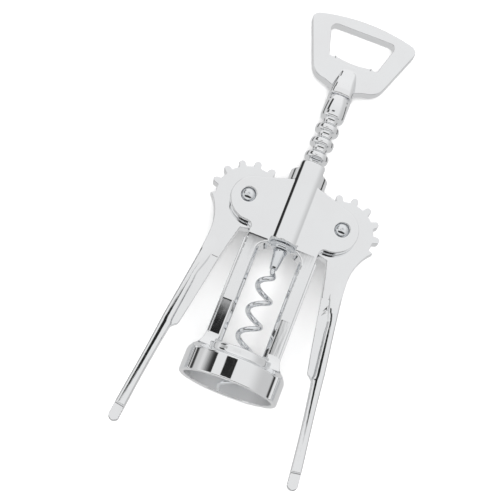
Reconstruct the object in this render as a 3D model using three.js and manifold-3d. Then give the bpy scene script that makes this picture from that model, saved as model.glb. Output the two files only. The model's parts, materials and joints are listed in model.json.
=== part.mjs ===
// A chrome lever (wing) corkscrew, in millimetres.
//
// The tool is built along its own axis: X is across the levers, Y runs from the bell's rim towards
// the handle, and Z points out of the front. At the end the whole tool is laid on its back, with the
// bell's shoulder and the end of the handle touching the plane z = 0.

import * as THREE from 'three';
import { mergeVertices } from 'three/addons/utils/BufferGeometryUtils.js';
import Module from 'manifold-3d';

const wasm = await Module();
wasm.setup();

// ---- Driving dimensions ----------------------------------------------------------------------

const clearance = { running: 0.25, seat: 0.3, close: 0.2, slot: 0.6 };

const bell = {
  boreRadius: 15.75, // a bottle's finish is 29.5 across
  wall: 1.3,
  skirtHeight: 8.3,
  seatDepth: 7.0, // how far the bottle goes in
  lipRadius: 11.8,
  lipWall: 2.0,
  lipTop: 12.9,
  shoulderRise: 1.5,
  padReach: 0.6, // how far the side pads stand proud of the skirt
  padHalfDepth: 9.6,
};

const leg = {
  innerX: 7.4,
  outerX: 12.7,
  bevel: 1.5,
  halfDepth: 3.6,
  ribWidth: 0.9,
  ribHalfDepth: 2.15,
  taperFrom: 28.5, // height from which it thickens towards the cheeks
  flareRadius: 8.2,
};

const arch = { crown: 53.4, height: 6.4, mouth: 55.2 };

const pivot = { y: 65.75, radius: 1.5, headRadius: 2.2, headProud: 1.0, domeDrop: 0.2 };
const recess = { radius: 2.6, depth: 0.8 };

const lug = {
  thickness: 3.15,
  endRadius: 8.4,
  endOffset: [-2.3, -0.75], // centre of the round end, from the pivot
  topSlope: 17, // degrees
  filletRadius: 2.0,
};

const tube = { radius: 6.9, end: 54.2, shoulder: 82.4, top: 85.5, bossHalfWidth: 4.3, chamfer: 0.9 };

const rack = {
  radius: 4.4,
  pitch: 5.66,
  grooveShare: 0.309, // a groove's radius, as a share of the pitch
  grooveDepth: 1.62,
  grooves: 8,
  firstGroove: 103.45, // height of the groove nearest the handle
  edge: 0.5,
};

const gear = {
  perTurn: 14,
  teeth: 8,
  addendum: 1.34, // a tooth's height outside the pitch circle
  dedendum: 1.01, // and inside it
  standOff: 0.44, // from the pitch circle to the stem's surface
  toothShare: 0.424, // a tooth's width, as a share of the rack's pitch
};

const lever = {
  thickness: 4.0,
  barThickness: 5.2,
  edge: 0.4,
  restAngle: 9.35, // degrees outwards from the tool's axis
  length: 91,
  shoulderRise: 1.8, // above the gear's root circle
  shoulderAngle: -22, // degrees
  neckOuter: 4.7,
  neckInner: -2.3,
  neckAt: 24,
  finEnd: 51.5,
  barOuter: 3.7, // where the fin ends
  barInner: -0.3,
  tipHalfWidth: 1.9,
  barStart: 1.6, // how far outside the pivot's line the bar begins
  heel: 10, // how far below the pivot the gear's rim runs into the fin
};

// The sweep from the gear's shoulder into the neck, as shares of the way in and of the way down.
const shoulderSweep = [[0, 0], [0.28, 0.1], [0.57, 0.26], [0.8, 0.45], [0.94, 0.7], [1, 1]];

const handle = {
  bottom: 117.2,
  top: 145.5,
  thickness: 4.0,
  edge: 0.5,
  footHalfWidth: 10.8,
  footRise: 1.9,
  footRadius: 4.5,
  waistHalfWidth: 14.2,
  waistRise: 7.4,
  waistRadius: 12,
  topHalfWidth: 21.0,
  cornerDrop: 3.15, // from the top's crown down to where its sides would meet it
  cornerRadius: 3.0,
  cornerCut: [5.0, 1.2],
};

const opener = {
  top: 140.8,
  bottom: 128.1,
  topHalfWidth: 13.0,
  bottomHalfWidth: 9.2,
  cornerRadius: 2.0,
  lipHalfWidth: 7.0,
  lipRise: 1.1,
  lipSag: 0.8,
};

const boss = { bottom: 114.0, straight: 2.5, top: 124.5, radius: 4.6, topRadius: 2.6 };
const tang = { radius: 2.4, length: 6.5 };
const crossPin = { radius: 0.8, height: 118.0, cover: 1.0 };

const washer = { radius: 5.95, thickness: 0.8 };
const collar = { radius: 3.7, height: 1.6, flange: 1.0, neckRadius: 2.2 };
const ferrule = { topRadius: 2.5, tipRadius: 1.5, length: 7.2 };

const worm = {
  wireRadius: 0.95,
  meanRadius: 3.15,
  pitch: 9.58,
  leftAt: 28.7, // a height where the wire is furthest to the left
  tip: -1.4,
  shankTop: 50.5,
  swing: 5.2, // height in which the wire leaves the axis
  taper: 5.0,
};

const facets = { bell: 48, round: 36, small: 20, wire: 8 };

// ---- Values that follow ------------------------------------------------------------------------

const skirtRadius = bell.boreRadius + bell.wall;
const padX = skirtRadius + bell.padReach;
const shoulderTop = bell.skirtHeight + bell.shoulderRise;
const slotHalf = lever.thickness / 2 + clearance.running;
const lugFace = slotHalf + lug.thickness;
const toothStep = (2 * Math.PI) / gear.perTurn;
const pitchRadius = rack.pitch / toothStep;
const tipRadius = pitchRadius + gear.addendum;
const rootRadius = pitchRadius - gear.dedendum;
const toothWidth = gear.toothShare * rack.pitch;
const grooveRadius = rack.grooveShare * rack.pitch;
const slotRadius = tipRadius + clearance.slot;
const pivotX = rack.radius + pitchRadius + gear.standOff;
const restAngle = THREE.MathUtils.degToRad(lever.restAngle);
const washerTop = arch.mouth - clearance.seat;
const collarTop = washerTop - washer.thickness - clearance.close;
const collarBottom = collarTop - collar.height;
const ferruleTop = collarBottom - clearance.close;
const ferruleTip = ferruleTop - ferrule.length;
const wireHole = worm.wireRadius + clearance.close;

// ---- Turning geometry into solids and back -----------------------------------------------------

function solid(geometry) {
  geometry.deleteAttribute('normal');
  geometry.deleteAttribute('uv');
  const merged = mergeVertices(geometry, 1e-4);
  return new wasm.Manifold(
    new wasm.Mesh({
      numProp: 3,
      vertProperties: new Float32Array(merged.attributes.position.array),
      triVerts: new Uint32Array(merged.index.array),
    }),
  );
}

function geometryOf(body) {
  const mesh = body.getMesh();
  const geometry = new THREE.BufferGeometry();
  geometry.setAttribute('position', new THREE.BufferAttribute(mesh.vertProperties, 3));
  geometry.setIndex(new THREE.BufferAttribute(mesh.triVerts, 1));
  geometry.computeVertexNormals();
  return geometry;
}

function joined(bodies) {
  return bodies.reduce((all, body) => all.add(body));
}

// A solid of revolution about the tool's axis, from [radius, height] points that start and end on it.
// It is turned half a facet, so that a flat and not a corner faces the ground.
function turned(points, segments = facets.round) {
  const profile = points.map(([radius, height]) => new THREE.Vector2(radius, height));
  return solid(new THREE.LatheGeometry(profile, segments, Math.PI / segments));
}

function rod(radius, bottom, top, segments = facets.round) {
  return turned([[0, bottom], [radius, bottom], [radius, top], [0, top]], segments);
}

// A round bar along Z, centred on (x, y).
function crossRod(radius, x, y, back, front, segments = facets.small) {
  const geometry = new THREE.CylinderGeometry(radius, radius, front - back, segments);
  geometry.rotateX(Math.PI / 2);
  geometry.translate(x, y, (back + front) / 2);
  return solid(geometry);
}

function block(width, height, depth, x, y, z) {
  return solid(new THREE.BoxGeometry(width, height, depth).translate(x, y, z));
}

// A flat outline in XY, given thickness in Z, with its edges broken by `edge`.
function plate(shape, back, front, edge = 0) {
  const geometry = new THREE.ExtrudeGeometry(shape, {
    depth: front - back - 2 * edge,
    bevelEnabled: edge > 0,
    bevelSize: edge,
    bevelOffset: -edge,
    bevelThickness: edge,
    bevelSegments: 2,
    curveSegments: 8,
  });
  return solid(geometry.translate(0, 0, back + edge));
}

// An outline in XZ carried along Y.
function column(shape, bottom, top) {
  const geometry = new THREE.ExtrudeGeometry(shape, { depth: top - bottom, bevelEnabled: false });
  geometry.rotateX(-Math.PI / 2);
  return solid(geometry.translate(0, bottom, 0));
}

function mirrored(shapePoints) {
  return shapePoints.map(([x, y]) => [-x, y]).reverse();
}

function outline(points) {
  return new THREE.Shape(points.map(([x, y]) => new THREE.Vector2(x, y)));
}

function arc(cx, cy, radius, from, to, steps = 8) {
  return Array.from({ length: steps + 1 }, (_, i) => {
    const angle = from + ((to - from) * i) / steps;
    return [cx + radius * Math.cos(angle), cy + radius * Math.sin(angle)];
  });
}

// The corners of a polygon, each rounded to its own radius: [[x, y, radius], ...].
function rounded(corners, steps = 6) {
  const points = [];
  corners.forEach(([x, y, radius], i) => {
    const corner = new THREE.Vector2(x, y);
    if (!radius) {
      points.push([x, y]);
      return;
    }
    const before = corners[(i + corners.length - 1) % corners.length];
    const after = corners[(i + 1) % corners.length];
    const toBefore = new THREE.Vector2(before[0], before[1]).sub(corner).normalize();
    const toAfter = new THREE.Vector2(after[0], after[1]).sub(corner).normalize();
    const half = Math.acos(THREE.MathUtils.clamp(toBefore.dot(toAfter), -1, 1)) / 2;
    const reach = radius / Math.tan(half);
    const start = corner.clone().addScaledVector(toBefore, reach);
    const end = corner.clone().addScaledVector(toAfter, reach);
    const curve = new THREE.QuadraticBezierCurve(start, corner, end);
    curve.getPoints(steps).forEach((p) => points.push([p.x, p.y]));
  });
  return points;
}

// ---- Frame: bell, legs, lugs and centre tube in one casting ------------------------------------

function bellSolid() {
  const outside = turned(
    [
      [0, 0],
      [skirtRadius, 0],
      [skirtRadius, bell.skirtHeight],
      [bell.lipRadius, shoulderTop],
      [bell.lipRadius, bell.lipTop],
      [0, bell.lipTop],
    ],
    facets.bell,
  );
  const reach = block(2 * padX, bell.skirtHeight, 2 * bell.padHalfDepth, 0, bell.skirtHeight / 2, 0);
  return outside.add(rod(padX, 0, bell.skirtHeight, facets.bell).intersect(reach));
}

function bellBore() {
  const bottleSpace = rod(bell.boreRadius, -1, bell.seatDepth, facets.bell);
  return bottleSpace.add(rod(bell.lipRadius - bell.lipWall, bell.seatDepth - 1, bell.lipTop + 1));
}

function legSection() {
  return outline([
    [leg.innerX, -leg.halfDepth + leg.bevel],
    [leg.innerX + leg.bevel, -leg.halfDepth],
    [leg.outerX, -leg.halfDepth],
    [leg.outerX, -leg.ribHalfDepth],
    [leg.outerX + leg.ribWidth, -leg.ribHalfDepth],
    [leg.outerX + leg.ribWidth, leg.ribHalfDepth],
    [leg.outerX, leg.ribHalfDepth],
    [leg.outerX, leg.halfDepth],
    [leg.innerX + leg.bevel, leg.halfDepth],
    [leg.innerX, leg.halfDepth - leg.bevel],
  ]);
}

// A quarter-round flare, from a vertical face at `near` out to `far` at the bell's shoulder.
function flare(near, far) {
  const radius = leg.flareRadius;
  const end = Math.acos(Math.max(1 - (far - near) / radius, 0));
  return arc(near + radius, bell.skirtHeight + radius * Math.sin(end), radius, Math.PI, Math.PI + end);
}

// The foot of a leg spreads sideways and to front and back to meet the bell's pad.
function legFoot() {
  const low = bell.skirtHeight - 1;
  const across = flare(leg.outerX + leg.ribWidth, padX);
  const through = flare(leg.halfDepth, bell.padHalfDepth);
  const inner = leg.innerX + leg.bevel;
  const wide = outline([[inner, low], [inner, across[0][1]], ...across, [padX, low]]);
  const deep = outline([
    ...mirrored([...through, [bell.padHalfDepth, low]]),
    ...through,
    [bell.padHalfDepth, low],
  ]);
  const reach = 2 * padX;
  const turnedDeep = new THREE.ExtrudeGeometry(deep, { depth: reach, bevelEnabled: false });
  const round = rod(padX, low, across[0][1], facets.bell);
  return plate(wide, -reach, reach).intersect(solid(turnedDeep.rotateY(Math.PI / 2))).intersect(round);
}

// The front and back of a leg thicken towards the cheeks.
function legTaper() {
  const top = arch.crown - arch.height;
  const shape = outline([
    [leg.halfDepth, leg.taperFrom],
    [lugFace, top],
    [lugFace, top + 1],
    [-lugFace, top + 1],
    [-lugFace, top],
    [-leg.halfDepth, leg.taperFrom],
  ]);
  const start = leg.innerX + leg.bevel;
  const geometry = new THREE.ExtrudeGeometry(shape, { depth: leg.outerX - start, bevelEnabled: false });
  return solid(geometry.rotateY(Math.PI / 2).translate(start, 0, 0));
}

// One side of the cheeks that hold a lever, out to the round end behind the pivot.
function lugOutline() {
  const cx = pivotX + lug.endOffset[0];
  const cy = pivot.y + lug.endOffset[1];
  const slope = THREE.MathUtils.degToRad(lug.topSlope);
  const topAngle = Math.PI / 2 - slope;
  const topX = cx + lug.endRadius * Math.cos(topAngle);
  const topY = cy + lug.endRadius * Math.sin(topAngle);
  const filletX = leg.outerX + lug.filletRadius;
  const filletY = cy - Math.sqrt((lug.endRadius + lug.filletRadius) ** 2 - (filletX - cx) ** 2);
  const join = Math.atan2(filletY - cy, filletX - cx);
  return outline([
    [0, topY + topX * Math.tan(slope)],
    ...arc(cx, cy, lug.endRadius, topAngle, join, 24),
    ...arc(filletX, filletY, lug.filletRadius, join + Math.PI, Math.PI).slice(1),
    [leg.outerX, arch.crown - arch.height],
    [0, arch.crown - arch.height],
  ]);
}

function archCutter() {
  const base = arch.crown - arch.height;
  const halfWidth = leg.innerX + leg.bevel;
  const crown = arc(0, 0, 1, 0, Math.PI, 20).map(([x, y]) => [halfWidth * x, base + arch.height * y]);
  const low = base - arch.height;
  return plate(outline([[halfWidth, low], ...crown, [-halfWidth, low]]), -2 * lugFace, 2 * lugFace);
}

function tubeSolid() {
  const barrel = turned([
    [0, arch.crown - 1],
    [tube.radius, arch.crown - 1],
    [tube.radius, tube.shoulder - tube.chamfer],
    [tube.radius - tube.chamfer, tube.shoulder],
    [0, tube.shoulder],
  ]);
  const bosses = turned([
    [0, tube.shoulder - 1],
    [tube.radius, tube.shoulder - 1],
    [tube.radius, tube.top - tube.chamfer],
    [tube.radius - tube.chamfer, tube.top],
    [0, tube.top],
  ]);
  const height = tube.top - tube.shoulder + 4;
  const between = block(2 * tube.bossHalfWidth, height, 4 * tube.radius, 0, tube.top - height / 2 + 1, 0);
  return barrel.add(bosses.intersect(between));
}

// Everything that a lever and its pin need cut away on the right-hand side.
function leverRoom() {
  const floor = lugFace - recess.depth;
  const far = 2 * lugFace;
  const x = pivotX;
  const { y } = pivot;
  return joined([
    crossRod(slotRadius, x, y, -slotHalf, slotHalf, facets.bell),
    crossRod(pivot.radius + clearance.seat, x, y, -far, far),
    crossRod(recess.radius, x, y, floor, far),
    crossRod(recess.radius, x, y, -far, -floor),
  ]);
}

function frameSolid() {
  const cheeks = joined([
    plate(lugOutline(), -lugFace, lugFace),
    plate(lugOutline(), -lugFace, lugFace).mirror([1, 0, 0]),
    tubeSolid(),
  ]).subtract(archCutter());
  const post = column(legSection(), bell.skirtHeight - 0.5, arch.crown);
  const rightLeg = joined([post, legFoot(), legTaper()]);
  const body = joined([cheeks, rightLeg, rightLeg.mirror([1, 0, 0]), bellSolid()]);
  const room = leverRoom();
  const cutters = [
    bellBore(),
    rod(rack.radius + clearance.running, arch.crown - 3, tube.top + 1),
    rod(washer.radius + clearance.seat, arch.crown - arch.height, arch.mouth),
    rod(tube.radius + clearance.running, arch.crown - arch.height, tube.end),
    room,
    room.mirror([1, 0, 0]),
  ];
  return cutters.reduce((rest, cutter) => rest.subtract(cutter), body);
}

// A rivet with a domed head on each cheek.
function pivotPinSolid() {
  const seat = lugFace - recess.depth + clearance.close;
  const crown = lugFace + pivot.headProud;
  const head = [
    [pivot.headRadius, seat],
    [pivot.headRadius, (seat + crown) / 2],
    [pivot.headRadius * 0.75, crown - pivot.domeDrop],
    [pivot.headRadius * 0.35, crown],
  ];
  const half = [[pivot.radius, seat], ...head];
  const profile = [[0, -crown], ...half.map(([r, z]) => [r, -z]).reverse(), ...half, [0, crown]];
  const points = profile.map(([r, z]) => new THREE.Vector2(r, z));
  const rivet = new THREE.LatheGeometry(points, facets.round).rotateX(Math.PI / 2);
  return solid(rivet).translate([pivotX, pivot.y, 0]);
}

// ---- Levers ------------------------------------------------------------------------------------

// The angle, from +X, of the right lever's lowest tooth at rest: the one in the rack's groove that
// is nearest the pivot's height.
function firstToothAngle() {
  const between = Math.round((rack.firstGroove - pivot.y) / rack.pitch);
  const height = rack.firstGroove - between * rack.pitch;
  return Math.PI + (pivot.y - height) / pitchRadius;
}

function toothPoints(angle) {
  const half = toothWidth / 2;
  const foot = Math.sqrt(rootRadius ** 2 - half ** 2);
  const centre = tipRadius - half;
  const local = [[foot, -half], ...arc(centre, 0, half, -Math.PI / 2, Math.PI / 2), [foot, half]];
  const cos = Math.cos(angle);
  const sin = Math.sin(angle);
  return local.map(([x, y]) => [x * cos - y * sin, x * sin + y * cos]);
}

const pairs = (curve, steps) => curve.getPoints(steps).map((point) => [point.x, point.y]);
const spline = (points, steps) =>
  pairs(new THREE.SplineCurve(points.map(([x, y]) => new THREE.Vector2(x, y))), steps);

function shoulderPoint() {
  const angle = THREE.MathUtils.degToRad(lever.shoulderAngle);
  const shoulderRadius = rootRadius + lever.shoulderRise;
  return [shoulderRadius * Math.cos(angle), shoulderRadius * Math.sin(angle)];
}

function outerEdge() {
  const [x, y] = shoulderPoint();
  const across = x - lever.neckOuter;
  const down = lever.neckAt + y;
  return spline(
    [
      ...shoulderSweep.map(([inward, downward]) => [x - across * inward, y - down * downward]),
      [(lever.neckOuter + lever.barOuter) / 2, -(lever.neckAt + lever.finEnd) / 2],
      [lever.barOuter, -lever.finEnd],
      [(lever.barOuter + lever.tipHalfWidth) / 2 + 0.1, -(lever.finEnd + lever.length) / 2],
      [lever.tipHalfWidth, -lever.length + lever.tipHalfWidth],
    ],
    40,
  );
}

function tipEnd() {
  const radius = lever.tipHalfWidth;
  return arc(0, -lever.length + radius, radius, 0, -Math.PI).slice(1, -1);
}

function innerBarEdge() {
  return spline(
    [
      [-lever.tipHalfWidth, -lever.length + lever.tipHalfWidth],
      [(lever.barInner - lever.tipHalfWidth) / 2, -(lever.finEnd + lever.length) / 2],
      [lever.barInner, -lever.finEnd - 2],
    ],
    8,
  );
}

// The right lever about its own pivot, with its tip straight down.
function leverOutline() {
  const first = firstToothAngle() - restAngle;
  const teeth = [];
  for (let i = gear.teeth - 1; i >= 0; i -= 1) {
    teeth.push(...toothPoints(first - i * toothStep));
  }
  const finTop = [lever.neckInner - 0.9, -lever.heel];
  const inner = [[lever.neckInner, -lever.finEnd + 1], [lever.neckInner, -lever.neckAt], finTop];
  const heelEnd = Math.atan2(finTop[1], finTop[0]) + 2 * Math.PI;
  const heel = arc(0, 0, rootRadius, first + toothStep / 2, heelEnd, 4);
  return outline([
    ...teeth,
    ...heel.slice(0, -1),
    ...[...inner].reverse(),
    ...[...innerBarEdge()].reverse(),
    ...[...tipEnd()].reverse(),
    ...[...outerEdge()].reverse(),
  ]);
}

// The thicker bar that runs from the neck down to the tip, outside the fin.
function barOutline() {
  const outer = outerEdge().filter(([, y]) => y < -lever.neckAt * 0.8);
  return outline([
    [lever.barStart, outer[0][1]],
    [lever.barInner + 0.5, -lever.finEnd],
    ...[...innerBarEdge()].reverse(),
    ...[...tipEnd()].reverse(),
    ...[...outer].reverse(),
  ]);
}

function leverSolid() {
  const half = lever.thickness / 2;
  const barHalf = lever.barThickness / 2;
  const body = plate(leverOutline(), -half, half, lever.edge);
  const bar = plate(barOutline(), -barHalf, barHalf, lever.edge);
  const bore = crossRod(pivot.radius + clearance.seat, 0, 0, -barHalf, barHalf);
  const standing = body.add(bar).subtract(bore);
  return standing.rotate([0, 0, lever.restAngle]).translate([pivotX, pivot.y, 0]);
}

// ---- Spindle: rack stem, handle, collar, ferrule and worm ---------------------------------------

function grooveProfile(height) {
  const centre = rack.radius + grooveRadius - rack.grooveDepth;
  const inset = rack.radius - rack.edge / 2;
  const open = Math.acos((centre - inset) / grooveRadius);
  const mouth = grooveRadius * Math.sin(open) + rack.edge;
  const bottom = arc(centre, height, grooveRadius, Math.PI - open, Math.PI + open, 5);
  return [[rack.radius, height + mouth], ...bottom, [rack.radius, height - mouth]];
}

function rackStemSolid() {
  const head = boss.bottom - clearance.seat;
  const shoulder = arch.mouth + clearance.seat;
  const profile = [[0, boss.bottom + tang.length], [tang.radius, boss.bottom + tang.length]];
  profile.push([tang.radius, head], [rack.radius, head]);
  for (let i = 0; i < rack.grooves; i += 1) {
    profile.push(...grooveProfile(rack.firstGroove - i * rack.pitch));
  }
  profile.push([rack.radius, shoulder], [collar.neckRadius, shoulder]);
  profile.push([collar.neckRadius, collarBottom], [0, collarBottom]);
  const socket = rod(wireHole, collarBottom - 1, worm.shankTop + clearance.seat, facets.small);
  return turned(profile.reverse()).subtract(socket).subtract(crossPinHole());
}

function crossPinHole() {
  const front = boss.radius - crossPin.cover;
  return crossRod(crossPin.radius + clearance.seat, 0, crossPin.height, -2 * boss.radius, front);
}

function handleOutline() {
  const cornerY = handle.top - handle.cornerDrop;
  const [cutIn, cutUp] = handle.cornerCut;
  const side = rounded([
    [boss.radius, handle.bottom, 0],
    [handle.footHalfWidth, handle.bottom + handle.footRise, handle.footRadius],
    [handle.waistHalfWidth, handle.bottom + handle.waistRise, handle.waistRadius],
    [handle.topHalfWidth, cornerY, handle.cornerRadius],
    [handle.topHalfWidth - cutIn, cornerY + cutUp, 0],
  ]);
  const [edgeX, edgeY] = side[side.length - 1];
  const rise = handle.top - edgeY;
  const crownRadius = (edgeX ** 2 + rise ** 2) / (2 * rise);
  const sweep = Math.asin(edgeX / crownRadius);
  const centre = handle.top - crownRadius;
  const crown = arc(0, centre, crownRadius, Math.PI / 2 - sweep, Math.PI / 2 + sweep, 16);
  return outline([...side, ...crown.slice(1, -1), ...mirrored(side)]);
}

function openerOutline() {
  const lipY = opener.bottom + opener.lipRise;
  const side = rounded([
    [opener.lipHalfWidth, lipY, 0],
    [opener.lipHalfWidth + 0.8, opener.bottom, 0.3],
    [opener.bottomHalfWidth, opener.bottom, 0.3],
    [opener.topHalfWidth, opener.top, opener.cornerRadius],
    [0, opener.top, 0],
  ]).slice(0, -1);
  const lip = [-0.5, 0, 0.5].map((t) => [
    2 * t * opener.lipHalfWidth * 0.6,
    lipY - opener.lipSag * (1 - t * t),
  ]);
  return outline([...side, ...mirrored(side), ...lip]);
}

function openerHandleSolid() {
  const half = handle.thickness / 2;
  const body = plate(handleOutline(), -half, half, handle.edge);
  const hub = turned([
    [0, boss.bottom],
    [boss.radius, boss.bottom],
    [boss.radius, boss.bottom + boss.straight],
    [boss.topRadius, boss.top],
    [0, boss.top],
  ]);
  const socketTop = boss.bottom + tang.length + clearance.seat;
  const socket = rod(tang.radius + clearance.seat, boss.bottom - 1, socketTop);
  return body
    .subtract(plate(openerOutline(), -handle.thickness, handle.thickness))
    .add(hub)
    .subtract(socket)
    .subtract(crossPinHole());
}

function crossPinSolid() {
  const front = boss.radius - crossPin.cover - clearance.seat;
  return crossRod(crossPin.radius, 0, crossPin.height, -boss.radius + clearance.seat, front);
}

function neckHole() {
  return rod(collar.neckRadius + clearance.close, collarBottom - 1, arch.mouth + 1, facets.small);
}

function washerSolid() {
  return rod(washer.radius, washerTop - washer.thickness, washerTop).subtract(neckHole());
}

function collarSolid() {
  return turned([
    [0, collarBottom],
    [collar.radius, collarBottom],
    [collar.radius, (collarBottom + collarTop) / 2],
    [collar.radius + collar.flange, collarTop],
    [0, collarTop],
  ]).subtract(neckHole());
}

function ferruleSolid() {
  const cone = turned([
    [0, ferruleTip],
    [ferrule.tipRadius, ferruleTip],
    [ferrule.topRadius, ferruleTop],
    [0, ferruleTop],
  ]);
  return cone.subtract(rod(wireHole, ferruleTip - 1, ferruleTop + 1, facets.small));
}

// The wire leaves the ferrule on the axis, swings out to the helix and runs down to its point.
class WormPath extends THREE.Curve {
  getPoint(t, target = new THREE.Vector3()) {
    const y = THREE.MathUtils.lerp(worm.shankTop, worm.tip, t);
    const radius = worm.meanRadius * THREE.MathUtils.smoothstep(ferruleTip - 0.4 - y, 0, worm.swing);
    const angle = (2 * Math.PI * (y - worm.leftAt)) / worm.pitch;
    return target.set(-radius * Math.cos(angle), y, radius * Math.sin(angle));
  }
}

// Draws the end of the wire in to a point, towards the nearest place on its path.
function sharpen(geometry, path) {
  const steps = 400;
  const spine = Array.from({ length: steps + 1 }, (_, i) => path.getPoint(i / steps));
  const position = geometry.attributes.position;
  const vertex = new THREE.Vector3();
  for (let i = 0; i < position.count; i += 1) {
    vertex.fromBufferAttribute(position, i);
    const distances = spine.map((point) => point.distanceToSquared(vertex));
    const nearest = spine[distances.indexOf(Math.min(...distances))];
    const left = (nearest.y - worm.tip) / worm.taper;
    const scale = THREE.MathUtils.clamp(0.2 + 0.8 * left, 0.2, 1);
    vertex.sub(nearest).multiplyScalar(scale).add(nearest);
    position.setXYZ(i, vertex.x, vertex.y, vertex.z);
  }
  return geometry;
}

function wormSolid() {
  const path = new WormPath();
  const circle = outline(arc(0, 0, worm.wireRadius, 0, 2 * Math.PI, facets.wire).slice(0, -1));
  const turns = (worm.shankTop - worm.tip) / worm.pitch;
  const steps = Math.round(turns * 22);
  const wire = new THREE.ExtrudeGeometry(circle, { steps, extrudePath: path, bevelEnabled: false });
  return solid(sharpen(wire, path));
}

// ---- Assembly ----------------------------------------------------------------------------------

function finish(colour, roughness) {
  return new THREE.MeshStandardMaterial({ color: colour, roughness, metalness: 1 });
}

const chrome = finish('#d9dde1', 0.08);
const brightSteel = finish('#c2c6ca', 0.2);

const tool = new THREE.Group();
tool.name = 'tool';

function place(name, body, material) {
  const mesh = new THREE.Mesh(geometryOf(body), material);
  mesh.name = name;
  tool.add(mesh);
}

const rightLever = leverSolid();
const rightPin = pivotPinSolid();

place('frame', frameSolid(), chrome);
place('left_lever', rightLever.mirror([1, 0, 0]), chrome);
place('right_lever', rightLever, chrome);
place('left_pivot_pin', rightPin.mirror([1, 0, 0]), brightSteel);
place('right_pivot_pin', rightPin, brightSteel);
place('rack_stem', rackStemSolid(), chrome);
place('opener_handle', openerHandleSolid(), chrome);
place('handle_cross_pin', crossPinSolid(), brightSteel);
place('stop_washer', washerSolid(), brightSteel);
place('stem_collar', collarSolid(), brightSteel);
place('worm_ferrule', ferruleSolid(), brightSteel);
place('worm', wormSolid(), brightSteel);

// Lying on its back: the bell's shoulder and the end of the handle touch the ground.
const handleBack = handle.thickness / 2;
tool.rotation.x = -Math.atan((skirtRadius - handleBack) / (handle.top - bell.skirtHeight));
tool.updateMatrixWorld(true);
const extent = new THREE.Box3().setFromObject(tool, true);
const middle = extent.getCenter(new THREE.Vector3());
tool.position.set(-middle.x, -middle.y, -extent.min.z);

const corkscrew = new THREE.Group();
corkscrew.name = 'lever_corkscrew';
corkscrew.add(tool);

export default corkscrew;
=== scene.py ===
"""A chrome lever corkscrew: smooth castings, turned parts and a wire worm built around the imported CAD.

Every piece is made in the tool's own axes, in millimetres: X across the levers, Y from the bell to the
handle, Z out of the front. tool_matrix() then puts it where the CAD has it, from the record's joints.
"""

import json
import math

import bmesh
import bpy
import numpy as np
from mathutils import Matrix, Vector


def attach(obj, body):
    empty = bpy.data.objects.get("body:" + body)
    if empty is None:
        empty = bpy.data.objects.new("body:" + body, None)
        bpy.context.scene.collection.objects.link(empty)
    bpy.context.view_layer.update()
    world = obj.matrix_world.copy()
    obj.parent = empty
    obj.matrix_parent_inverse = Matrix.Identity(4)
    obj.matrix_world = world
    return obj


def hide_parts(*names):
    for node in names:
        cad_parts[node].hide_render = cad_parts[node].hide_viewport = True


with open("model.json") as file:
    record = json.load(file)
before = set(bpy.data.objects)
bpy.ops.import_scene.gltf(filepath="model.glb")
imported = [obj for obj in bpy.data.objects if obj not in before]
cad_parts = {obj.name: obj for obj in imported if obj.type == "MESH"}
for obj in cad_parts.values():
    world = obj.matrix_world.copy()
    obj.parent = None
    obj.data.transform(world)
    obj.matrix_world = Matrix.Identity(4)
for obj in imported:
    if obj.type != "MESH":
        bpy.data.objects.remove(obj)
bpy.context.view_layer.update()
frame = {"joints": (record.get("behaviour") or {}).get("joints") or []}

VOXEL = 0.17
SMOOTHING = 7
MM = 0.001
ROUND = 192

# Sizes in the tool's axes. R is a radius; HALF is half of a width or of a thickness.
PIVOT = (17.4514, 65.75)
SKIRT_R, SKIRT_TOP, PAD_R, PAD_HALF = 17.05, 8.3, 17.65, 9.6
BORE_R, SEAT, THROAT_R, LIP_R = 15.75, 7.0, 9.8, 11.8
LEG_IN, LEG_FLAT, LEG_OUT, RIB_OUT = 7.4, 8.9, 12.7, 13.6
LEG_HALF, RIB_HALF = 3.6, 2.15
TAPER_FROM, TAPER_TO = 28.5, 53
ARCH_BASE, ARCH_RISE = 47, 6.4
SLOT_HALF, CHEEK_FACE, SLOT_R = 2.27, 5.4, 14.55
PIN_HOLE_R, RECESS_R, RECESS_DEPTH = 1.8, 2.62, 0.8
TUBE_R, TUBE_END, TUBE_SHOULDER, TUBE_TOP, TUBE_BORE_R = 6.9, 54.2, 82.4, 85.5, 4.75
MOUTH_R, MOUTH_TOP = 6.3, 55.2
STEM_R, GROOVE_R, PITCH, FIRST_GROOVE, GROOVES = 4.4, 1.75, 5.66, 103.45, 8
TEETH_PER_TURN, TEETH, TOOTH_HALF, TIP_R, ROOT_R = 14, 8, 1.25, 14.0, 11.6
LEVER_TIP_Y, LEVER_TIP_R, PLATE_HALF, BAR_LIFT = -89.1, 1.9, 2.0, 0.6
BAR_TOP, BAR_END, FIN_END = -18, -89.6, -52.5
HANDLE_TOP, HANDLE_HALF, OPENER_HALF, CROSS_PIN_Y = 145.5, 2, 6.9, 118.0
WORM_R, WIRE_R, WORM_PITCH, WORM_LEFT_AT, WORM_TIP = 3.15, 0.95, 9.58, 28.7, -1.4
REST_ANGLE = math.radians(9.35)


# ---- the tool's axes in the row frame ------------------------------------------------------------

def tool_matrix():
    joints = {j["name"]: j for j in frame["joints"]}
    y = -Vector(joints["handle_spin"]["axis"]).normalized()
    z = Vector(joints["right_lever_hinge"]["axis"]).normalized()
    x = y.cross(z)
    pivot = Vector(joints["right_lever_hinge"]["pos_m"])
    origin = pivot - (x * PIVOT[0] + y * PIVOT[1]) * MM
    m = Matrix((x, y, z)).transposed().to_4x4()
    return Matrix.Translation(origin) @ m @ Matrix.Scale(MM, 4)


TOOL = tool_matrix()


# ---- mesh helpers ----------------------------------------------------------------------------------

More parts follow.
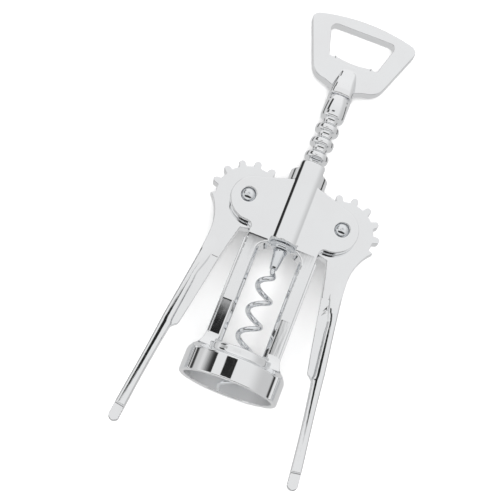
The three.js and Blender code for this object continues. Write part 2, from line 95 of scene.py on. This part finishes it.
def new_object(name, verts, faces):
    mesh = bpy.data.meshes.new(name)
    mesh.from_pydata([tuple(v) for v in verts], [], faces)
    bm = bmesh.new()
    bm.from_mesh(mesh)
    bmesh.ops.recalc_face_normals(bm, faces=bm.faces)
    bm.to_mesh(mesh)
    bm.free()
    obj = bpy.data.objects.new(name, mesh)
    bpy.context.scene.collection.objects.link(obj)
    return obj


def discard(obj):
    mesh = obj.data
    bpy.data.objects.remove(obj)
    bpy.data.meshes.remove(mesh)


def lathe(profile, segments):
    """A closed solid of revolution about Y. The profile's first and last points are on the axis."""
    verts, faces, rings = [], [], []
    for r, y in profile:
        if r < 1e-6:
            rings.append([len(verts)])
            verts.append((0, y, 0))
            continue
        rings.append(list(range(len(verts), len(verts) + segments)))
        for i in range(segments):
            a = 2 * math.pi * i / segments
            verts.append((r * math.sin(a), y, r * math.cos(a)))
    for low, high in zip(rings, rings[1:]):
        for i in range(segments):
            j = (i + 1) % segments
            if len(low) == 1 and len(high) == 1:
                continue
            if len(low) == 1:
                faces.append((low[0], high[i], high[j]))
            elif len(high) == 1:
                faces.append((low[i], low[j], high[0]))
            else:
                faces.append((low[i], low[j], high[j], high[i]))
    return new_object("turned", verts, faces)


def ring_lathe(profile, segments=128):
    """A closed ring about Y, from a closed profile that stays off the axis."""
    count = len(profile)
    verts = [
        (r * math.sin(2 * math.pi * i / segments), y, r * math.cos(2 * math.pi * i / segments))
        for i in range(segments)
        for r, y in profile
    ]
    faces = []
    for i in range(segments):
        j = (i + 1) % segments
        for k in range(count):
            n = (k + 1) % count
            faces.append((i * count + k, j * count + k, j * count + n, i * count + n))
    return new_object("ring", verts, faces)


def loft(sections):
    """A closed solid through rings of equal length, capped at both ends."""
    count = len(sections[0])
    verts = [p for ring in sections for p in ring]
    faces = [tuple(range(count)), tuple(range(len(verts) - count, len(verts)))]
    for s in range(len(sections) - 1):
        a, b = s * count, (s + 1) * count
        for i in range(count):
            j = (i + 1) % count
            faces.append((a + i, a + j, b + j, b + i))
    return new_object("loft", verts, faces)


def plate(outline, z0, z1):
    return loft([[(x, y, z0) for x, y in outline], [(x, y, z1) for x, y in outline]])


def column(outline, y0, y1):
    """An outline in XZ carried along Y."""
    return loft([[(x, y0, z) for x, z in outline], [(x, y1, z) for x, z in outline]])


def bar_x(outline, x0, x1):
    """An outline in ZY carried along X."""
    return loft([[(x0, y, z) for z, y in outline], [(x1, y, z) for z, y in outline]])


def rod_z(radius, x, y, z0, z1, segments):
    return plate(arc(x, y, radius, 0, 2 * math.pi, segments)[:-1], z0, z1)


def box(x0, x1, y0, y1, z0, z1):
    return plate([(x0, y0), (x1, y0), (x1, y1), (x0, y1)], z0, z1)


def arc(cx, cy, r, a0, a1, steps):
    return [
        (cx + r * math.cos(a0 + (a1 - a0) * i / steps), cy + r * math.sin(a0 + (a1 - a0) * i / steps))
        for i in range(steps + 1)
    ]


def rounded(corners, steps):
    """A polygon of (x, y, radius) with each corner rounded by a true arc."""
    out = []
    for i, (x, y, r) in enumerate(corners):
        if r <= 0:
            out.append((x, y))
            continue
        p = Vector((x, y))
        a = (Vector(corners[i - 1][:2]) - p).normalized()
        b = (Vector(corners[(i + 1) % len(corners)][:2]) - p).normalized()
        half = a.angle(b) / 2
        reach = r / math.tan(half)
        centre = p + (a + b).normalized() * (r / math.sin(half))
        start, end = p + a * reach - centre, p + b * reach - centre
        sweep = start.angle_signed(end)
        for k in range(steps + 1):
            t = -sweep * k / steps
            out.append((
                centre.x + start.x * math.cos(t) - start.y * math.sin(t),
                centre.y + start.x * math.sin(t) + start.y * math.cos(t),
            ))
    return out


def spline(points, steps=8):
    """A Catmull-Rom curve through the points."""
    pts = [2 * np.array(points[0]) - points[1], *map(np.array, points), 2 * np.array(points[-1]) - points[-2]]
    out = []
    for i in range(1, len(pts) - 2):
        p0, p1, p2, p3 = pts[i - 1 : i + 3]
        for k in range(steps):
            t = k / steps
            out.append(tuple(0.5 * (2 * p1 + (p2 - p0) * t + (2 * p0 - 5 * p1 + 4 * p2 - p3) * t**2
                                    + (3 * p1 - p0 - 3 * p2 + p3) * t**3)))
    return [*out, tuple(points[-1])]


def mirror_x(points):
    return [(-p[0], *p[1:]) for p in points][::-1]


def evaluated_mesh(obj):
    graph = bpy.context.evaluated_depsgraph_get()
    return bpy.data.meshes.new_from_object(obj.evaluated_get(graph))


def carve(base, other, operation="DIFFERENCE"):
    m = base.modifiers.new("b", "BOOLEAN")
    m.operation = operation
    m.solver = "MANIFOLD"
    m.object = other
    mesh = evaluated_mesh(base)
    base.modifiers.clear()
    old, base.data = base.data, mesh
    bpy.data.meshes.remove(old)
    discard(other)
    return base


def union(base, *others):
    for other in others:
        carve(base, other, "UNION")
    return base


def cut(base, *others):
    for other in others:
        carve(base, other)
    return base


def flipped(obj):
    """A mirror image across X = 0."""
    mesh = obj.data.copy()
    mesh.transform(Matrix.Scale(-1, 4, (1, 0, 0)))
    mesh.flip_normals()
    twin = bpy.data.objects.new(obj.name + "_m", mesh)
    bpy.context.scene.collection.objects.link(twin)
    return twin


def cast(obj, voxel=VOXEL, smoothing=SMOOTHING):
    """Turns a sharp solid into a casting with softened edges."""
    m = obj.modifiers.new("r", "REMESH")
    m.mode = "VOXEL"
    m.voxel_size = voxel
    s = obj.modifiers.new("s", "SMOOTH")
    s.factor = 0.5
    s.iterations = smoothing
    mesh = evaluated_mesh(obj)
    obj.modifiers.clear()
    old, obj.data = obj.data, mesh
    bpy.data.meshes.remove(old)
    return obj


def finished(obj, name, body, slot_name, material, *nodes):
    """Puts a piece where the CAD has it, and says what it is."""
    obj.data.transform(TOOL)
    obj.data.update()
    obj.name = obj.data.name = name
    for polygon in obj.data.polygons:
        polygon.use_smooth = True
    obj.data.materials.clear()
    obj.data.materials.append(material)
    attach(obj, body)
    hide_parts(*nodes)
    return obj


# ---- materials --------------------------------------------------------------------------------------

def metal(name, colour, roughness, warm):
    """Bright plate: faint mottling, hairline polish marks, and rubbed edges."""
    mat = bpy.data.materials.new(name)
    mat.use_nodes = True
    nodes, links = mat.node_tree.nodes, mat.node_tree.links
    shader = nodes["Principled BSDF"]
    shader.inputs["Metallic"].default_value = 1.0
    where = nodes.new("ShaderNodeTexCoord")

    def noise(scale, detail, stretch=(1, 1, 1)):
        mapping = nodes.new("ShaderNodeMapping")
        mapping.inputs["Scale"].default_value = stretch
        texture = nodes.new("ShaderNodeTexNoise")
        texture.inputs["Scale"].default_value = scale
        texture.inputs["Detail"].default_value = detail
        links.new(where.outputs["Object"], mapping.inputs["Vector"])
        links.new(mapping.outputs["Vector"], texture.inputs["Vector"])
        return texture.outputs["Fac"]

    def ranged(value, low, high, out_low, out_high):
        node = nodes.new("ShaderNodeMapRange")
        for key, number in zip(("From Min", "From Max", "To Min", "To Max"), (low, high, out_low, out_high)):
            node.inputs[key].default_value = number
        links.new(value, node.inputs["Value"])
        return node.outputs["Result"]

    def math_node(kind, a, b):
        node = nodes.new("ShaderNodeMath")
        node.operation = kind
        links.new(a, node.inputs[0])
        links.new(b, node.inputs[1])
        return node.outputs[0]

    tint = nodes.new("ShaderNodeMix")
    tint.data_type = "RGBA"
    tint.inputs["A"].default_value = (*colour, 1)
    tint.inputs["B"].default_value = (*warm, 1)
    links.new(ranged(noise(90, 3), 0.35, 0.7, 0, 0.55), tint.inputs["Factor"])
    links.new(tint.outputs["Result"], shader.inputs["Base Color"])

    geometry = nodes.new("ShaderNodeNewGeometry")
    rubbed = ranged(geometry.outputs["Pointiness"], 0.53, 0.62, 0, 0.05)
    mottle = ranged(noise(160, 4), 0.3, 0.75, roughness * 0.7, roughness * 1.5)
    marks = ranged(noise(900, 2, (1, 0.06, 1)), 0.55, 0.8, 0, roughness * 0.6)
    links.new(math_node("ADD", math_node("ADD", mottle, marks), rubbed), shader.inputs["Roughness"])

    bump = nodes.new("ShaderNodeBump")
    bump.inputs["Strength"].default_value = 0.02
    bump.inputs["Distance"].default_value = 0.0002
    links.new(math_node("ADD", noise(220, 2), noise(1400, 2, (1, 0.05, 1))), bump.inputs["Height"])
    links.new(bump.outputs["Normal"], shader.inputs["Normal"])
    return mat


chrome = metal("cast_chrome", (0.88, 0.89, 0.9), 0.045, (0.86, 0.86, 0.87))
dull_chrome = metal("unpolished_bore", (0.95, 0.955, 0.96), 0.36, (0.93, 0.93, 0.94))
steel = metal("plated_steel", (0.8, 0.82, 0.84), 0.05, (0.77, 0.78, 0.8))


# ---- frame: bell, legs, cheeks and tube ---------------------------------------------------------------

def bell():
    outside = lathe(
        [(0, 0), (SKIRT_R - 0.3, 0), (SKIRT_R, 0.3), (SKIRT_R, SKIRT_TOP - 0.35), (SKIRT_R - 0.3, SKIRT_TOP),
         (15.6, 8.55), (12.5, 9.5), (12.05, 9.75), (11.85, 10.2), (LIP_R, 12.3), (11.5, 12.75),
         (11.1, 12.9), (0, 12.9)], ROUND)
    band = lathe([(0, 0), (PAD_R - 0.35, 0), (PAD_R, 0.35), (PAD_R, SKIRT_TOP - 0.4),
                  (PAD_R - 0.35, SKIRT_TOP), (0, SKIRT_TOP)], ROUND)
    pads = carve(band, box(-20, 20, -1, 9, -PAD_HALF, PAD_HALF), "INTERSECT")
    return union(outside, pads)


def bell_space():
    return lathe(
        [(0, -1), (BORE_R + 0.25, -1), (BORE_R + 0.25, 0.0), (BORE_R, 0.35), (BORE_R, SEAT),
         (THROAT_R, SEAT), (THROAT_R, 12.4), (THROAT_R + 0.5, 13.0), (THROAT_R + 0.5, 14), (0, 14)], ROUND)


def flare(near, far, radius=8.2):
    """The hollow curve of a leg's foot, from near the leg out to the bell's skirt."""
    end = math.acos(max(1 - (far - near) / radius, 0))
    return arc(near + radius, SKIRT_TOP + radius * math.sin(end), radius, math.pi, math.pi + end, 14)


def leg():
    half = [(LEG_IN, 2.1), (LEG_FLAT, LEG_HALF), (LEG_OUT, LEG_HALF), (LEG_OUT, RIB_HALF),
            (RIB_OUT, RIB_HALF)]
    section = [*half, *[(x, -z) for x, z in half[::-1]]]
    post = column(section, SKIRT_TOP - 0.3, 53.4)
    low = SKIRT_TOP - 1
    across = flare(RIB_OUT, PAD_R - 0.05)
    foot = plate([(LEG_FLAT, low), (LEG_FLAT, across[0][1]), *across, (PAD_R - 0.05, low)], -20, 20)
    outline = [*flare(LEG_HALF, PAD_HALF - 0.1), (PAD_HALF - 0.1, low)]
    carve(foot, bar_x([*outline, *[(-z, y) for z, y in outline[::-1]]], 0, 30), "INTERSECT")
    inside = PAD_R - 0.1
    carve(foot, lathe([(0, low - 0.1), (inside, low - 0.1), (inside, 30), (0, 30)], ROUND), "INTERSECT")
    taper = bar_x([(LEG_HALF, TAPER_FROM), (CHEEK_FACE, TAPER_TO), (-CHEEK_FACE, TAPER_TO),
                   (-LEG_HALF, TAPER_FROM)], LEG_FLAT - 0.5, LEG_OUT)
    return union(post, foot, taper)


def lug_outline():
    """The right cheek: a sloped shoulder, a round lug, and a fillet down to the leg."""
    cx, cy, r, fillet = PIVOT[0] - 2.3, PIVOT[1] - 0.75, 8.4, 2.0
    slope = math.radians(17)
    top = math.pi / 2 - slope
    tx, ty = cx + r * math.cos(top), cy + r * math.sin(top)
    fx = LEG_OUT + fillet
    fy = cy - math.sqrt((r + fillet) ** 2 - (fx - cx) ** 2)
    join = math.atan2(fy - cy, fx - cx)
    return [(0, ty + tx * math.tan(slope)), *arc(cx, cy, r, top, join, 60),
            *arc(fx, fy, fillet, join + math.pi, math.pi, 12)[1:], (LEG_OUT, ARCH_BASE), (0, ARCH_BASE)]


def cheeks():
    right = plate(lug_outline(), -CHEEK_FACE, CHEEK_FACE)
    both = union(right, flipped(right))
    # Up to the end of the legs' taper the cheeks are cut back to its slope.
    for s in (1, -1):
        cut(both, bar_x([(s * 4.81, 45), (s * CHEEK_FACE, TAPER_TO), (s * 8, TAPER_TO), (s * 8, 45)],
                        -16, 16))
    barrel = lathe([(0, 50), (TUBE_R, 50), (TUBE_R, TUBE_SHOULDER - 0.8),
                    (TUBE_R - 0.9, TUBE_SHOULDER), (0, TUBE_SHOULDER)], ROUND)
    boss = lathe([(0, 80), (TUBE_R, 80), (TUBE_R, TUBE_TOP - 0.7), (TUBE_R - 0.7, TUBE_TOP),
                  (0, TUBE_TOP)], ROUND)
    carve(boss, plate([(-4.4, 79), (4.4, 79), (4.4, 84.2), (3.6, 86), (-3.6, 86), (-4.4, 84.2)], -9, 9),
          "INTERSECT")
    union(both, barrel, boss)
    crown = [(LEG_FLAT * x, ARCH_BASE + ARCH_RISE * y) for x, y in arc(0, 0, 1, 0, math.pi, 40)]
    return cut(both, plate([(LEG_FLAT, 40), *crown, (-LEG_FLAT, 40)], -9, 9))


def make_frame():
    body = bell()
    right = leg()
    union(body, cheeks(), flipped(right), right)
    cut(body, bell_space(),
        lathe([(0, 50), (TUBE_BORE_R, 50), (TUBE_BORE_R, 84.9), (5.1, 85.6), (5.1, 87), (0, 87)], 128),
        lathe([(0, 45), (7.15, 45), (7.15, TUBE_END), (MOUTH_R, TUBE_END), (MOUTH_R, MOUTH_TOP),
               (0, MOUTH_TOP)], 128))
    for s in (1, -1):
        x, y = s * PIVOT[0], PIVOT[1]
        cut(body, rod_z(SLOT_R, x, y, -SLOT_HALF, SLOT_HALF, ROUND),
            rod_z(PIN_HOLE_R, x, y, -9, 9, 48),
            rod_z(RECESS_R, x, y, CHEEK_FACE - RECESS_DEPTH, 9, 64),
            rod_z(RECESS_R, x, y, -9, -CHEEK_FACE + RECESS_DEPTH, 64))
    cast(body)
    # The bore and the seat have the dull finish.
    inside = [p.index for p in body.data.polygons
              if 0.6 < p.center.y < 7.3 and math.hypot(p.center.x, p.center.z) < 16.2]
    finished(body, "frame_casting", "frame", "chrome", chrome, "frame")
    body.data.materials.append(dull_chrome)
    for index in inside:
        body.data.polygons[index].material_index = 1


# ---- levers ---------------------------------------------------------------------------------------------

# Edges of the right lever about its pivot, tip straight down: outside, inside of the bar, inside of the fin.
OUTER = [(12.4, -5.1), (11.3, -6.0), (10.1, -7.1), (8.9, -8.6), (7.7, -10.5), (6.5, -13), (5.6, -16),
         (5.1, -19.5), (4.7, -24), (4.4, -30), (4.15, -37), (3.95, -44), (3.7, -51.5), (3.15, -60),
         (2.75, -68), (2.45, -76), (2.15, -84), (LEVER_TIP_R, LEVER_TIP_Y)]
INNER_BAR = [(-LEVER_TIP_R, LEVER_TIP_Y), (-1.5, -84), (-1.05, -77), (-0.7, -70), (-0.45, -63),
             (-0.3, -56), (-0.3, -53.5)]
INNER_FIN = [(-2.2, -50.6), (-2.3, -44), (-2.3, -37), (-2.3, -30), (-2.35, -24), (-2.6, -17), (-3.2, -10)]


def tooth_angles():
    """Angles of the teeth before the lever leans out, so that at rest they sit in the stem's grooves."""
    between = round((FIRST_GROOVE - PIVOT[1]) / PITCH)
    pitch_radius = PITCH * TEETH_PER_TURN / (2 * math.pi)
    low = math.pi + (PIVOT[1] - (FIRST_GROOVE - between * PITCH)) / pitch_radius
    return [low - REST_ANGLE - i * 2 * math.pi / TEETH_PER_TURN for i in range(TEETH)]


def tooth(angle):
    half = TOOTH_HALF
    crest = arc(TIP_R - half, 0, half, -math.pi / 2, math.pi / 2, 12)
    local = [(ROOT_R - 0.9, -half - 0.55), (ROOT_R + 0.15, -half - 0.1), *crest,
             (ROOT_R + 0.15, half + 0.1), (ROOT_R - 0.9, half + 0.55)]
    c, s = math.cos(angle), math.sin(angle)
    return [(x * c - y * s, x * s + y * c) for x, y in local]


def lever_bar(outer, inner_bar):
    """The bar: crowned, thicker than the plate, from the neck down to the tip."""
    sections = []
    for y in np.linspace(BAR_TOP, BAR_END, 46):
        x_out = np.interp(-y, [-p[1] for p in outer], [p[0] for p in outer])
        if y > FIN_END:
            x_in = np.interp(-y, [-BAR_TOP, 33, 36, -FIN_END], [x_out - 5.2, 1.3, 1.0, 0.15])
        else:
            x_in = np.interp(-y, [-p[1] for p in inner_bar[::-1]], [p[0] for p in inner_bar[::-1]])
        lift = PLATE_HALF + BAR_LIFT * min(max((BAR_TOP - y) / 10, 0), 1)
        # Each point is a share of the width and a height above the middle.
        half = [(0, 0.5), (0, lift - 0.6), (0.1, lift - 0.22), (0.3, lift - 0.04), (0.5, lift),
                (0.7, lift - 0.04), (0.9, lift - 0.22), (1, lift - 0.6), (1, 0.5)]
        width = x_out - x_in
        front = [(x_in + width * share, y, z) for share, z in half]
        sections.append(front + [(x, y, -z) for x, y, z in front[::-1]])
    return loft(sections)


def make_lever(name, side):
    gear = rod_z(ROOT_R, 0, 0, -PLATE_HALF, PLATE_HALF, ROUND)
    for angle in tooth_angles():
        union(gear, plate(tooth(angle), -PLATE_HALF, PLATE_HALF))
    tip = arc(0, LEVER_TIP_Y, LEVER_TIP_R, 0, -math.pi, 16)
    outer, inner_bar, fin = spline(OUTER), spline(INNER_BAR), spline(INNER_FIN)
    blank = plate([(4, 0), *outer, *tip[1:-1], *inner_bar, (-1.2, -52.3), (-2.0, -51.6), *fin, (-6, -6),
                   (-4, 0)], -PLATE_HALF, PLATE_HALF)
    body = union(gear, blank)
    # The fin falls away from the bar, which then covers the outer edge of the slope.
    for s in (1, -1):
        cut(body, loft([[(1.2, y, s * high), (-3.2, y, s * low), (-3.2, y, s * 4), (1.2, y, s * 4)]
                        for y, high, low in ((-24, 2.1, 2.05), (-37, 1.98, 0.45), (-54, 1.98, 0.45))]))
    union(body, lever_bar(outer, inner_bar))
    # The facets on the front and back of the tip.
    for s in (1, -1):
        facet = [(1.75, -84.9), (4, -84.9), (4, -92), (1.0, -92), (1.25, -89.0)]
        cut(body, bar_x([(s * z, y) for z, y in facet], -5, 5))
    cut(body, rod_z(PIN_HOLE_R, 0, 0, -9, 9, 48))
    cast(body, VOXEL * 0.75, SMOOTHING + 2)
    body.data.transform(Matrix.Rotation(REST_ANGLE, 4, "Z"))
    body.data.transform(Matrix.Translation((*PIVOT, 0)))
    if side < 0:
        twin = flipped(body)
        discard(body)
        body = twin
    return finished(body, name + "_casting", name, "chrome", chrome, name)


def make_pin(name, side):
    seat, crown = CHEEK_FACE - 0.6, CHEEK_FACE + 1.0
    dome = [(2.15, seat), (2.2, seat + 0.4), (2.12, crown - 0.85), (1.9, crown - 0.58),
            (1.6, crown - 0.38), (1.2, crown - 0.2), (0.8, crown - 0.08), (0.45, crown),
            (0.36, crown - 0.03), (0.28, crown - 0.22), (0, crown - 0.22)]
    profile = [(r, -z) for r, z in dome[::-1]] + [(1.5, -seat), (1.5, seat)] + dome
    pin = lathe(profile, 64)
    pin.data.transform(Matrix.Rotation(math.pi / 2, 4, "X"))
    pin.data.transform(Matrix.Translation((side * PIVOT[0], PIVOT[1], 0)))
    return finished(pin, name + "_rivet", "frame", "bright_steel", steel, name)


# ---- spindle --------------------------------------------------------------------------------------------

def make_stem():
    profile = [(0, 120.5), (2.4, 120.5), (2.4, 113.7), (4.1, 113.7), (STEM_R, 113.4)]
    for i in range(GROOVES):
        y = FIRST_GROOVE - i * PITCH
        if i == 0:
            profile += [(STEM_R, y + 2.6), (STEM_R - 0.15, y + 2.2)]
        else:
            profile += [(STEM_R, y + 2.3), (STEM_R - 0.1, y + 2.0)]
        # A groove's round floor, from its upper edge to its lower one.
        profile += [(STEM_R + 0.1 + GROOVE_R * math.cos(a), y + GROOVE_R * math.sin(a))
                    for a in np.linspace(1.75, 4.53, 15)]
        profile += [(STEM_R - 0.1, y - 2.0), (STEM_R, y - 2.3)]
    profile += [(STEM_R, 55.8), (4.1, 55.5), (2.2, 55.5), (2.2, 52.2), (0, 52.2)]
    stem = lathe(profile[::-1], 96)
    return finished(stem, "rack_stem_turned", "screw", "chrome", chrome, "rack_stem")


def handle_outline():
    side = rounded([(4.4, 117.2, 0), (7.3, 118.3, 4), (12.4, 119.35, 6.5), (14.6, 124.9, 12),
                    (20.6, 141.25, 2.4), (18.4, 143.0, 1.5), (0, HANDLE_TOP, 0)], 10)[:-1]
    ex, ey = side[-1]
    rise = HANDLE_TOP - ey
    r = (ex**2 + rise**2) / (2 * rise)
    sweep = math.asin(ex / r)
    crown = arc(0, HANDLE_TOP - r, r, math.pi / 2 - sweep, math.pi / 2 + sweep, 40)
    return [*side, *crown[1:-1], *mirror_x(side)]


def lip_curve(y, reach):
    """The opener's lip: a shallow hollow across the plate."""
    return [(x, y + 0.75 * (x / OPENER_HALF) ** 2) for x in np.linspace(-reach, reach, 17)]


def opener_outline():
    side = rounded([(OPENER_HALF, 129.1, 0.25), (7.8, 128.2, 0.2), (9.25, 128.2, 0.5), (12.9, 140.95, 2.0),
                    (0, 140.6, 0)], 8)[:-1]
    return [*side, *mirror_x(side), *lip_curve(128.35, 6.4)]


def superellipse(hw, hz, y, n=40, power=3.2):
    """A ring at height y, between an ellipse and a rectangle, hw and hz to its sides."""
    out = []
    for i in range(n):
        a = 2 * math.pi * i / n
        c, s = math.cos(a), math.sin(a)
        x = hw * math.copysign(abs(c) ** (2 / power), c)
        z = hz * math.copysign(abs(s) ** (2 / power), s)
        out.append((x, y, z))
    return out


def make_handle():
    body = plate(handle_outline(), -HANDLE_HALF, HANDLE_HALF)
    cut(body, plate(opener_outline(), -5, 5))
    widths = [(4.2, 4.2, 114.0), (4.5, 4.5, 114.4), (4.45, 4.5, 116.4), (4.2, 4.0, 118.5),
              (3.7, 3.1, 121.5), (3.3, 2.5, 124.2), (3.1, 1.9, 125.2)]
    hub = loft([superellipse(*size) for size in widths])
    union(body, hub)
    ledge = lip_curve(127.0, OPENER_HALF)
    cut(body, plate([*ledge, (OPENER_HALF, 131), (-OPENER_HALF, 131)], 1.15, 5))
    cut(body, lathe([(0, 113), (2.7, 113), (2.7, 120.8), (0, 120.8)], 64))
    cut(body, rod_z(1.1, 0, CROSS_PIN_Y, -9, 3.6, 32))
    return finished(cast(body), "opener_handle_casting", "screw", "chrome", chrome, "opener_handle")


def make_cross_pin():
    pin = lathe([(0, -4.2), (0.65, -4.2), (0.8, -4.05), (0.8, 3.2), (0.65, 3.3), (0, 3.3)], 32)
    pin.data.transform(Matrix.Rotation(math.pi / 2, 4, "X"))
    pin.data.transform(Matrix.Translation((0, CROSS_PIN_Y, 0)))
    return finished(pin, "handle_cross_pin_peened", "screw", "bright_steel", steel, "handle_cross_pin")


def make_washer():
    ring = ring_lathe([(2.45, 54.15), (5.4, 54.1), (5.8, 54.2), (5.95, 54.45), (5.9, 54.75), (5.6, 54.9),
                       (2.45, 54.9)])
    return finished(ring, "stop_washer_pressed", "carriage", "bright_steel", steel, "stop_washer")


def make_collar():
    ring = ring_lathe([(2.45, 52.3), (3.3, 52.3), (3.62, 52.45), (3.7, 52.75), (3.75, 53.05), (4.2, 53.3),
                       (4.65, 53.5), (4.7, 53.75), (4.5, 53.9), (2.45, 53.9)])
    return finished(ring, "stem_collar_turned", "screw", "bright_steel", steel, "stem_collar")


def make_ferrule():
    ring = ring_lathe([(1.18, 44.95), (1.3, 44.9), (1.42, 45.1), (1.6, 46.2), (1.95, 48.5), (2.3, 50.8),
                       (2.5, 51.7), (2.45, 52.0), (2.3, 52.1), (1.18, 52.1)])
    return finished(ring, "worm_ferrule_cone", "screw", "bright_steel", steel, "worm_ferrule")


def worm_point(y):
    """The wire's middle: on the axis in the ferrule, then out to the helix, which is right-handed."""
    t = min(max((44.5 - y) / 5.2, 0), 1)
    r = WORM_R * t * t * (3 - 2 * t)
    a = 2 * math.pi * (y - WORM_LEFT_AT) / WORM_PITCH
    return Vector((-r * math.cos(a), y, r * math.sin(a)))


def make_worm():
    steps, sides = 900, 20
    heights = np.linspace(50.3, WORM_TIP, steps)
    points = [worm_point(y) for y in heights]
    turns = [2 * math.pi * k / sides for k in range(sides)]
    rings, normal = [], Vector((1, 0, 0))
    for i, p in enumerate(points):
        tangent = (points[min(i + 1, steps - 1)] - points[max(i - 1, 0)]).normalized()
        normal = (normal - tangent * normal.dot(tangent)).normalized()
        side = tangent.cross(normal)
        left = (heights[i] - WORM_TIP) / 4.6
        r = WIRE_R * min(1, 0.12 + 0.88 * math.sqrt(max(left, 0)))
        rings.append([p + (normal * math.cos(a) + side * math.sin(a)) * r for a in turns])
    return finished(loft(rings), "worm_wire", "screw", "bright_steel", steel, "worm")


make_frame()
make_lever("left_lever", -1)
make_lever("right_lever", 1)
make_pin("left_pivot_pin", -1)
make_pin("right_pivot_pin", 1)
make_stem()
make_handle()
make_cross_pin()
make_washer()
make_collar()
make_ferrule()
make_worm()


# ---- floor, light and camera ------------------------------------------------------------------------------

def make_floor():
    radius, corners = 0.7, 64
    rim = [(x, y, 0) for x, y in arc(0, 0, radius, 0, 2 * math.pi, corners)[:-1]]
    disc = new_object("floor", rim, [tuple(range(corners))])
    mat = bpy.data.materials.new("floor")
    mat.use_nodes = True
    shader = mat.node_tree.nodes["Principled BSDF"]
    shader.inputs["Base Color"].default_value = (0.9, 0.9, 0.9, 1)
    shader.inputs["Roughness"].default_value = 0.9
    shader.inputs["Specular IOR Level"].default_value = 0.0
    disc.data.materials.append(mat)
    disc.visible_glossy = False


def make_world():
    """A white studio with a few dark strips. Directions are in the tool's axes: round the Y axis from
    the front, positive to the right, and along Y towards the handle."""
    world = bpy.data.worlds.new("studio")
    bpy.context.scene.world = world
    world.use_nodes = True
    nodes, links = world.node_tree.nodes, world.node_tree.links
    background = nodes["Background"]
    where = nodes.new("ShaderNodeTexCoord")
    turn = nodes.new("ShaderNodeMapping")
    turn.inputs["Rotation"].default_value = TOOL.inverted().to_euler()
    links.new(where.outputs["Generated"], turn.inputs["Vector"])
    split = nodes.new("ShaderNodeSeparateXYZ")
    links.new(turn.outputs["Vector"], split.inputs["Vector"])

    def calc(kind, a, b=None, c=None):
        node = nodes.new("ShaderNodeMath")
        node.operation = kind
        for i, value in enumerate((a, b, c)):
            if value is None:
                continue
            if isinstance(value, (int, float)):
                node.inputs[i].default_value = value
            else:
                links.new(value, node.inputs[i])
        return node.outputs[0]

    def ramp(value, low, high, out_low=0.0, out_high=1.0):
        node = nodes.new("ShaderNodeMapRange")
        node.interpolation_type = "SMOOTHSTEP"
        for key, number in zip(("From Min", "From Max", "To Min", "To Max"), (low, high, out_low, out_high)):
            node.inputs[key].default_value = number
        links.new(value, node.inputs["Value"])
        return node.outputs["Result"]

    azimuth = calc("MULTIPLY", calc("ARCTAN2", split.outputs["X"], split.outputs["Z"]), 180 / math.pi)
    along = split.outputs["Y"]

    def card(a0, a1, y0, y1, soft=1.0, soft_y=0.01):
        from_left = ramp(azimuth, a0 - soft, a0 + soft)
        from_right = ramp(azimuth, a1 - soft, a1 + soft, 1, 0)
        from_bell = ramp(along, y0 - soft_y, y0 + soft_y)
        from_handle = ramp(along, y1 - soft_y, y1 + soft_y, 1, 0)
        across = calc("MULTIPLY", from_left, from_right)
        up = calc("MULTIPLY", from_bell, from_handle)
        return calc("MULTIPLY", across, up)

    value = calc("MULTIPLY", ramp(azimuth, 34, 74, 0.86, 0.62), ramp(azimuth, -92, -76, 0.76, 1))
    value = calc("ADD", value, calc("MULTIPLY", ramp(along, 0.2, 0.9), 0.08))

    def darken(value, mask, to):
        return calc("ADD", calc("MULTIPLY", value, calc("SUBTRACT", 1, mask)), calc("MULTIPLY", mask, to))

    # Two strips ending at nearly the same height: just left of the front, and to the left, fading out.
    value = darken(value, card(-25, 0.5, 0.14, 0.228), 0.02)
    fade = calc("MULTIPLY", card(-90, -47.5, 0.05, 0.232), ramp(azimuth, -85, -52))
    value = darken(value, fade, 0.03)
    # One on the left, further towards the handle, and one in front, towards the bell.
    value = darken(value, card(-78, -57, 0.24, 0.75, 3), 0.03)
    value = darken(value, card(-50, 50, -0.6, -0.2, 6, 0.04), 0.04)
    # Behind the tool it is grey, with a dark strip at each side.
    below = calc("ADD", ramp(azimuth, 100, 108), ramp(azimuth, -108, -100, 1, 0))
    value = darken(value, below, 0.64)
    value = darken(value, card(102, 116, -0.1, 0.6, 3), 0.05)
    value = darken(value, card(-116, -102, -0.1, 0.6, 3), 0.05)

    # The background itself is seen as plain white.
    direct = nodes.new("ShaderNodeLightPath").outputs["Is Camera Ray"]
    seen = calc("ADD", calc("MULTIPLY", value, calc("SUBTRACT", 1, direct)), direct)
    links.new(seen, background.inputs["Strength"])
    background.inputs["Color"].default_value = (1, 1, 1, 1)


def make_light():
    lamp = bpy.data.lights.new("overhead", "AREA")
    lamp.shape = "DISK"
    lamp.size = 1.2
    lamp.energy = 14
    obj = bpy.data.objects.new("overhead", lamp)
    obj.location = (0.1, -0.1, 0.9)
    obj.visible_glossy = False
    bpy.context.scene.collection.objects.link(obj)


def make_camera():
    """Below the bell's end and in front, looking up the tool, rolled so that the handle leans right."""
    data = bpy.data.cameras.new("camera")
    data.lens = 86.49
    data.sensor_width = 36
    data.clip_start, data.clip_end = 0.01, 10
    cam = bpy.data.objects.new("camera", data)
    turn = TOOL.to_3x3()
    right = (turn @ Vector((0.933, 0.355, 0.067))).normalized()
    back = (turn @ Vector((0.034, -0.272, 0.962))).normalized()
    up = back.cross(right).normalized()
    right = up.cross(back)
    place = Matrix((right, up, back)).transposed().to_4x4()
    cam.matrix_world = Matrix.Translation(TOOL @ Vector((4.265, -65.70, 403.91))) @ place
    bpy.context.scene.collection.objects.link(cam)
    bpy.context.scene.camera = cam


make_floor()
make_world()
make_light()
make_camera()
bpy.context.scene.view_settings.view_transform = "Standard"
